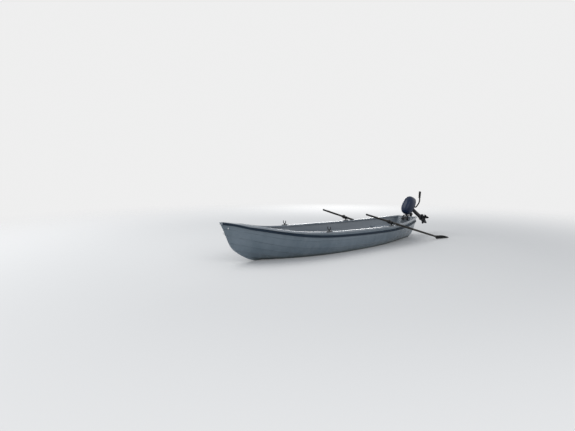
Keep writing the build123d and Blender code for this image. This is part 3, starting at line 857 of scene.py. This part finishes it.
def crutch_grids(centre):
    """A wire carried round an arc a little over half a circle, with a ball at each tip, and a
    turned stem. The wire thickens evenly from its tips to its middle, and is thinner close to
    the tips by the sixth power of the share along it."""
    turn = np.linspace(math.pi - HORN_CURL, 2 * math.pi + HORN_CURL, 60)
    tip = np.abs(np.linspace(-1, 1, 60))
    thick = 1.25 + 0.45 * (1 - tip) - 0.20 * tip ** 6
    radius = (HORN_RADIUS + HORN_WIRE * (thick - 1))[:, None]
    arc = centre + radius * np.stack([0 * turn, np.cos(turn), np.sin(turn)], -1)
    wire = superellipse(20, 2) * HORN_WIRE
    horns = carried(wire, arc, (1.0, 0.0, 0.0), scale=np.stack([thick, thick], -1))
    angle = np.linspace(0, math.pi, 12)
    ball = np.stack([-np.cos(angle), np.sin(angle)], -1) * HORN_TIP_RADIUS
    tips = [turned(ball, arc[end], (0, 1, 0), 20) for end in (0, -1)]
    return [horns, *tips, turned(CRUTCH_STEM, centre, UP, 28)]


seats = {}
for station in ("fore", "aft"):
    for side, _ in SIDES:
        low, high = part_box(f"rowlock_pad_{station}_{side}")
        seats[station, side] = np.array([(low.x + high.x) / 2, (low.y + high.y) / 2, high.z])
for (station, side), seat in seats.items():
    lock = f"rowlock_{station}_{side}"
    mesh_piece(f"rowlock_plate_{station}_{side}", pad_grids(seat), "hull", "rowlock_pad",
               (f"rowlock_pad_{station}_{side}",), sharp=50)
    mesh_piece(f"crutch_{station}_{side}", crutch_grids(seat + np.array([0, 0, LOOM_RISE])), lock,
               "galvanised_steel", (lock,), sharp=45)

# Oars, in their own frame with x along the loom and the handle on its positive side. Sleeve,
# handle and loom are turned: rows of distance along the loom and radius
SLEEVE = [(-0.110, 0), (-0.110, 0.0198), (-0.107, 0.0215), (-0.030, 0.0220), (-0.022, 0.0236),
          (-0.012, 0.0252), (0, 0.0256), (0.012, 0.0252), (0.022, 0.0236), (0.030, 0.0220),
          (0.058, 0.0220), (0.060, 0.0360), (0.0615, 0.0378), (0.0705, 0.0378), (0.072, 0.0360),
          (0.074, 0.0225), (0.127, 0.0215), (0.130, 0.0198), (0.130, 0)]
HANDLE = [(0.528, 0), (0.528, 0.0166), (0.532, 0.0172), (0.560, 0.0158), (0.600, 0.0160),
          (0.632, 0.0168), (0.642, 0.0160), (0.6485, 0.0110), (0.650, 0)]
LOOM = [(-1.400, 0), (-1.400, 0.0105), (-1.330, 0.0160), (-1.240, 0.0180), (-0.900, 0.0190),
        (-0.500, 0.0195), (-0.110, 0.0190), (0.130, 0.0180), (0.300, 0.0178), (0.500, 0.0172),
        (0.526, 0.0172), (0.530, 0.0160), (0.530, 0)]


def blade_grid(turn):
    """Closed blade: half width from a spline along its length, rounded off at the tip. Across
    it, the thickness is a thin edge and a rib, a bell curve that fades towards the tip, and the
    blade is cupped by the square of the width's share."""
    length = np.linspace(0, 1, 60)
    width = smooth_curve(BLADE_STATIONS, BLADE_HALF_WIDTHS)(length)
    length = length[:, None]
    width = width * (1 - 0.35 * ease((length - 1 + TIP_ROUNDING) / TIP_ROUNDING))
    x = -OAR_OUT - TIP_FURTHER + (BLADE_LENGTH + TIP_FURTHER) * (1 - length)
    across, face = np.cos(loop_angles(56)), np.sin(loop_angles(56))
    y = across * width
    rib = RIB_HEIGHT * (1 - ease(length * 1.15)) * np.exp(-(y / RIB_HALF) ** 2)
    thick = EDGE_AT_TIP + EDGE_MORE_AT_LOOM * (1 - length) + rib
    z = np.sign(face) * np.abs(face) ** 0.5 * thick - BLADE_CUP * across ** 2 * length
    c, s = math.cos(turn), math.sin(turn)
    return with_poles(np.stack([np.broadcast_to(x, y.shape), y * c - z * s, y * s + z * c], -1))


def oar_frame(side, sign):
    """Functions from the oar's own frame to the boat's and back."""
    splay, dip = OAR_SPLAY[side], OAR_DIP
    forward = np.array([math.cos(dip) * math.cos(splay), -sign * math.cos(dip) * math.sin(splay),
                        math.sin(dip)])
    lateral = np.array([sign * math.sin(splay), math.cos(splay), 0.0])
    upward = np.cross(forward, lateral)
    axes = np.stack([forward, lateral, upward])
    pivot = seats["aft", side] + np.array([0, 0, LOOM_RISE])

    def outwards(local):
        return local @ axes + pivot

    def inwards(world):
        return (world - pivot) @ axes.T

    return outwards, inwards


FORWARD = (1, 0, 0)
for side, sign in SIDES:
    outwards, inwards = oar_frame(side, sign)
    oar = f"oar_{side}"
    loom_rows = np.array(LOOM)
    loom_rows[loom_rows[:, 0] >= 0.5, 0] += HANDLE_FURTHER_IN[side]
    loom = turned(loom_rows, (0, 0, 0), FORWARD, 32)
    sleeve = turned(SLEEVE, (0, 0, 0), FORWARD, 40)
    handle = turned(HANDLE, (HANDLE_FURTHER_IN[side], 0, 0), FORWARD, 32)
    mesh_piece(f"oar_shaft_{side}", [outwards(loom), outwards(blade_grid(sign * BLADE_TURN))], oar,
               "oar_wood", (oar,), sharp=50, place=inwards)
    mesh_piece(f"oar_collar_{side}", [outwards(sleeve)], oar, "oar_plastic",
               (f"oar_sleeve_{side}",), sharp=35)
    mesh_piece(f"oar_handle_{side}", [outwards(handle)], oar, "oar_plastic",
               (f"oar_grip_{side}",), sharp=40)


def from_motor(local):
    """Points from the motor's own frame, tilted up about its pin, to the boat's."""
    local = np.asarray(local, float)
    x, y, z = local[..., 0], local[..., 1], local[..., 2]
    return np.stack([TILT_AXIS[0] + x * math.cos(TILT) + z * math.sin(TILT), y,
                     TILT_AXIS[1] - x * math.sin(TILT) + z * math.cos(TILT)], -1)


def stacked(rows, power, count=72):
    """Grid of level outlines: rows of height, centre, half length and half width."""
    rows = np.asarray(rows, float)
    shape = superellipse(count, power)
    x = rows[:, 1, None] + rows[:, 2, None] * shape[:, 0]
    y = rows[:, 3, None] * shape[:, 1]
    return np.stack([x, y, np.broadcast_to(rows[:, :1], x.shape)], -1)


# Motor cowl, seal and pan: stacked level outlines. The cowl has a fine groove above its seam
COWL_RINGS = np.array([
    # height, centre x, half length, half width
    (63, -149, 198, 104), (92, -142, 204, 108), (128, -134, 207, 111), (193, -123, 201, 108),
    (236, -117, 176, 93), (262, -114, 127, 66), (276, -112, 67, 35), (280, -112, 0, 0),
], float) * MM
cowl_rows = smooth_path(COWL_RINGS, 90)
cowl_rows[-1, 2:] = 0
cowl_rows[:, 2:] = np.maximum(cowl_rows[:, 2:], 0)
groove = SEAM_HALF * np.exp(-((cowl_rows[:, 0] - SEAM_Z) / SEAM_HALF) ** 2)
cowl_rows[:, 2:] -= groove[:, None]
bottom = COWL_RINGS[:1] * np.array([1, 1, 0, 0])
cowl = stacked(np.concatenate([bottom, cowl_rows]), COWL_POWER)
mesh_piece("cowl_shell", [from_motor(cowl)], "motor_head", "motor_cowl", ("motor_cowl",), sharp=55)
PAN_RINGS = np.array([
    (18, -130, 0, 0), (18, -130, 48, 40), (20, -131, 56, 47), (30, -135, 90, 66), (42, -140, 136, 86),
    (52, -145, 174, 97), (59, -148, 194, 103), (63, -149, 198, 104), (63, -149, 0, 0),
], float) * MM
mesh_piece("motor_underpan", [from_motor(stacked(PAN_RINGS, COWL_POWER))], "motor_head",
           "motor_pan", ("motor_lower_pan",), sharp=50)
SEAL_RINGS = np.array([
    (58.5, -148, 186, 96), (58.5, -148.5, 197, 104.5), (60, -148.8, 199.4, 105.6),
    (63, -149, 200.4, 106.4), (66, -148.6, 199.8, 106), (67.5, -148.4, 198, 105),
    (67.5, -148.4, 186, 96),
], float) * MM
mesh_piece("cowl_seal", [from_motor(stacked(SEAL_RINGS, COWL_POWER))], "motor_head",
           "grip_rubber", sharp=50)

# Leg: streamlined sections, with gearcase and shaft turned round the propeller's axis
LEG_ROWS = np.array([
    # height, length ahead of the axis, length behind it, half thickness
    (18, 26, 26, 26), (-60, 26, 26, 26), (-112, 26, 26, 26), (-113, 36, 38, 26),
    (-116, 40, 44, 25.5), (-150, 41, 46, 25), (-220, 41, 46, 24.5), (-300, 41, 47, 24),
    (-370, 43, 52, 22.5), (-425, 46, 60, 21), (-480, 49, 62, 17), (-520, 50, 62, 15),
    (-545, 50, 60, 15),
], float) * MM


def leg_grid(rows, count=56):
    """Level sections about the leg's axis: an ellipse with its own length ahead and behind. A
    tail of more than 30 mm is pinched by up to 45%, with the cosine's 1.5th power."""
    around = loop_angles(count)
    c, s = np.cos(around), np.sin(around)
    length = np.where(c > 0, rows[:, 1, None], rows[:, 2, None])
    x = -LEG_AFT + c * length
    tail = ease((rows[:, 2, None] - TAIL_FROM) / TAIL_RUN)
    y = rows[:, 3, None] * s * (1 - TAIL_PINCH * np.clip(-c, 0, 1) ** 1.5 * tail)
    return with_poles(np.stack([x, y, np.broadcast_to(rows[:, :1], x.shape)], -1))


POD = np.array([
    (84, 0), (83, 6), (78, 12), (68, 19), (52, 25), (30, 29.5), (0, 31), (-30, 30.4), (-56, 28.6),
    (-61, 27.5), (-62, 25), (-62, 0),
], float) * MM
pod = turned(POD, (-LEG_AFT, 0, PROP_Z), (1, 0, 0), 44)
shaft = turned([(-0.116, 0), (-0.116, 0.006), (-0.114, 0.008), (-0.050, 0.008), (-0.050, 0)],
               (-LEG_AFT, 0, PROP_Z), (1, 0, 0), 24)

# Skeg: leg sections that get shorter downwards, by 46 mm ahead with the 1.4th power of the drop,
# and by 30 mm behind with the 1.6th power of a smooth step, and thinner by 5 mm
drop = np.linspace(0, 1, 26)
skeg_rows = np.stack([PROP_Z + drop * (SKEG_Z - PROP_Z), 0.050 - 0.046 * drop ** 1.4,
                      0.052 - 0.030 * ease(drop) ** 1.6, 0.0085 - 0.0050 * drop], -1)
skeg = leg_grid(skeg_rows, 40)

# Plate over the propeller: a plan in layers. Its length is the cosine's ahead and the cosine's
# 0.6th power behind, and its half width the sine's 0.8th power
PLATE_LEVELS = [(-0.004, 0.5), (-0.004, 0.95), (-0.0022, 0.995), (0, 1), (0.0022, 0.995),
                (0.004, 0.95), (0.004, 0.5)]
cosine, sine = np.cos(loop_angles(80)), np.sin(loop_angles(80))
plate_x = np.where(cosine > 0, PLATE_AHEAD * cosine, -PLATE_BEHIND * np.abs(cosine) ** 0.6)
plate_y = PLATE_HALF * np.sign(sine) * np.abs(sine) ** 0.8
plate = layered(np.stack([plate_x, plate_y], -1), PLATE_LEVELS, (-LEG_AFT, 0, PLATE_Z))
leg = [from_motor(grid) for grid in (leg_grid(LEG_ROWS), pod, shaft, skeg, plate)]
mesh_piece("motor_leg_fairing", leg, "motor_head", "motor_metal", ("motor_leg",), sharp=50)


def blade_of_propeller(turn):
    """One twisted blade: chord from a spline of the radius, pitch angle from a constant pitch,
    an ellipse as its section, wrapped round the hub's axis. It leans aft by the radius' share
    and lags by the share's square."""
    share = np.linspace(0, 1, 26)
    chord = smooth_curve(CHORD_STATIONS, CHORDS)(share)
    share = share[:, None]
    radius = ROOT_RADIUS + BLADE_REACH * share
    pitch = np.arctan(PITCH / (2 * math.pi * radius))
    around = loop_angles(36)
    along = np.cos(around) * chord
    thick = np.sin(around) * (0.0034 - 0.0022 * share)
    axial = along * np.sin(pitch) + thick * np.cos(pitch) - RAKE * share
    wrapped = (along * np.cos(pitch) - thick * np.sin(pitch)) / radius
    angle = turn + wrapped - SKEW * share ** 2
    return with_poles(np.stack([HUB_X - BLADES_BEHIND_HUB + axial, radius * np.sin(angle),
                                PROP_Z + radius * np.cos(angle)], -1))


HUB = [(0, 0), (0, 0.0255), (0.002, 0.0272), (0.020, 0.0262), (0.045, 0.0228), (0.055, 0.0205),
       (0.058, 0.0170), (0.0585, 0.0090), (0.062, 0.0085), (0.063, 0.0060), (0.063, 0)]
hub = turned(HUB, (HUB_X, 0, PROP_Z), (-1, 0, 0), 40)
screw = [from_motor(grid) for grid in (hub, *[blade_of_propeller(turn) for turn in BLADE_TURNS])]
mesh_piece("propeller_blades", screw, "propeller", "propeller", ("motor_propeller",), sharp=50)

# Tiller: a round tube carried along a bent line
TILLER_PATH = np.array([
    (-214, 0, 46), (-210, 0, -40), (-228, 0, -112), (-300, 0, -150), (-380, 0, -168), (-430, 0, -154),
    (-466, 0, -124),
], float) * MM
TILLER_END = np.array([-0.588, 0, -0.062])
tube_line = smooth_path(TILLER_PATH, 110)
arm = carried(superellipse(28, 2) * TILLER_RADIUS, tube_line, (0.0, 1.0, 0.0))
mesh_piece("tiller_tube", [from_motor(arm)], "motor_head", "motor_metal", ("motor_tiller_arm",),
           sharp=60)

# Twist grip, turned: a flange, then a radius that grows by a smooth step, closes by another one
# at the end and has ribs from a sine that is clipped flat
reach = TILLER_END - TILLER_PATH[-1]
grip_length = np.linalg.norm(reach)
share = np.linspace(0, 1, 150)
ribs = 0.0009 * np.clip(3 * np.sin(2 * math.pi * GRIP_RIBS * share), -1, 1)
ribs = ribs * ((share > 0.12) & (share < 0.9))
radius = GRIP_RADIUS + 0.0018 * ease(share / 0.3) - 0.012 * ease((share - 0.955) / 0.045) ** 2
ribbed = np.stack([0.013 + share * (grip_length - 0.013), radius + ribs], -1)
flange = [(0, 0), (0, 0.0250), (0.0015, 0.0280), (0.0100, 0.0280), (0.0115, 0.0250), (0.012, 0.0200)]
grip = turned([*flange, *ribbed.tolist(), (grip_length, 0)], TILLER_PATH[-1], reach, 32)
mesh_piece("tiller_grip", [from_motor(grip)], "motor_head", "grip_rubber", ("motor_tiller_grip",),
           sharp=50)

# Floor at the waterline, open inside the hull so that no water stands in it. Its inner edge runs
# 6 mm inside the line where the outer skin crosses z = 0, and fans out from there
water_x = np.linspace(transom_x(0.0) + 0.001, FLOOR_OPEN_TO, 140)
grid_strake = np.broadcast_to(LINE_STRAKE[:, None], (len(LINE_STRAKE), len(water_x)))
grid_share = np.broadcast_to(LINE_SHARE[:, None], grid_strake.shape)
grid_x = np.broadcast_to(water_x, grid_strake.shape)
section = hull_lines_at(grid_x, grid_strake, grid_share, 0.0, LAP)
above = np.argmax(section[..., 1] > 0, axis=0)
column = np.arange(len(water_x))
low, high = section[np.maximum(above - 1, 0), column], section[above, column]
share = np.where(above > 0, -low[:, 1] / (high[:, 1] - low[:, 1] + 1e-9), 0)
crossing = low[:, 0] + share * (high[:, 0] - low[:, 0])
water_y = np.maximum(crossing - FLOOR_INSET, FLOOR_GAP)
water_y[-1] = FLOOR_GAP
port_edge = np.stack([water_x, water_y], -1)
ring = np.concatenate([port_edge, port_edge[::-1] * np.array([1, -1])])
bearing = unit(ring * np.array([0.25, 1.0]))
shares = np.array([0, 0.0005, 0.002, 0.01, 0.05, 0.25, 1.0])[:, None, None]
floor_grid = ring * (1 - shares) + bearing * FLOOR_REACH * shares
floor_grid = np.concatenate([floor_grid, np.zeros(floor_grid.shape[:2] + (1,))], -1)
floor_mesh = bpy.data.meshes.new("floor")
floor_mesh.from_pydata(floor_grid.reshape(-1, 3).tolist(), [],
                       grid_faces(len(shares), len(ring), True)[:, ::-1].tolist())
floor = bpy.data.objects.new("floor", floor_mesh)
bpy.context.scene.collection.objects.link(floor)
floor_finish = Finish("floor", Roughness=0.9, Specular_IOR_Level=0.0)
distance = (floor_finish.axis("X") ** 2 + floor_finish.axis("Y") ** 2) ** 0.5
far = floor_finish.ramp(distance, FLOOR_FADE_START, FLOOR_FADE_END)
colour = floor_finish.mixed(far, tone(0.74, 0.74, 0.735), tone(1.0, 1.0, 1.0))
floor_finish.feed("Base Color", colour)
floor_finish.feed("Alpha", 1 - far)
floor_mesh.materials.append(floor_finish.owner)

# Camera
camera_data = bpy.data.cameras.new("camera")
camera = bpy.data.objects.new("camera", camera_data)
bpy.context.scene.collection.objects.link(camera)
camera_data.sensor_width = SENSOR_WIDTH
camera_data.lens = SENSOR_WIDTH * FOCAL_PIXELS / FRAME_WIDTH
camera_data.clip_end = 200
camera.location = CAMERA_AT
forward = Vector((CAMERA_HEADING[0], CAMERA_HEADING[1], 0)).normalized()
dip = math.atan((FRAME_HEIGHT / 2 - HORIZON_ROW) / FOCAL_PIXELS)
look = Vector((forward.x * math.cos(dip), forward.y * math.cos(dip), -math.sin(dip)))
camera.rotation_euler = look.to_track_quat("-Z", "Y").to_euler()
bpy.context.scene.camera = camera

# World: grey for its light, and paler where the camera sees it, straight, mirrored or through glass
sky = Nodes(bpy.data.worlds.new("world"), "Background")
seen = (sky.node("ShaderNodeLightPath", "Is Camera Ray")
        + sky.node("ShaderNodeLightPath", "Is Glossy Ray")
        + sky.node("ShaderNodeLightPath", "Is Transmission Ray"))
backdrop = sky.mixed(seen.math("MINIMUM", 1.0), tone(0.50, 0.52, 0.55), tone(0.86, 0.86, 0.86))
sky.feed("Color", backdrop)
sky.feed("Strength", 1.0)
bpy.context.scene.world = sky.owner

# Lamps: name, place, power, width and height
for name, where, energy, size, height in (
        ("key", (5, -4, 8), 480, 8, 8), ("fill", (3, 9, 6), 240, 9, 9),
        ("low sun", (-7.2, -6.4, 2.2), 110, 3.4, 1.3)):
    data = bpy.data.lights.new(name, "AREA")
    data.energy = energy
    data.shape = "RECTANGLE"
    data.size = size
    data.size_y = height
    lamp = bpy.data.objects.new(name, data)
    lamp.location = where
    lamp.visible_camera = False
    lamp.rotation_euler = (Vector((0, 0, 0)) - Vector(where)).to_track_quat("-Z", "Y").to_euler()
    bpy.context.scene.collection.objects.link(lamp)

bpy.context.scene.view_settings.view_transform = "Standard"
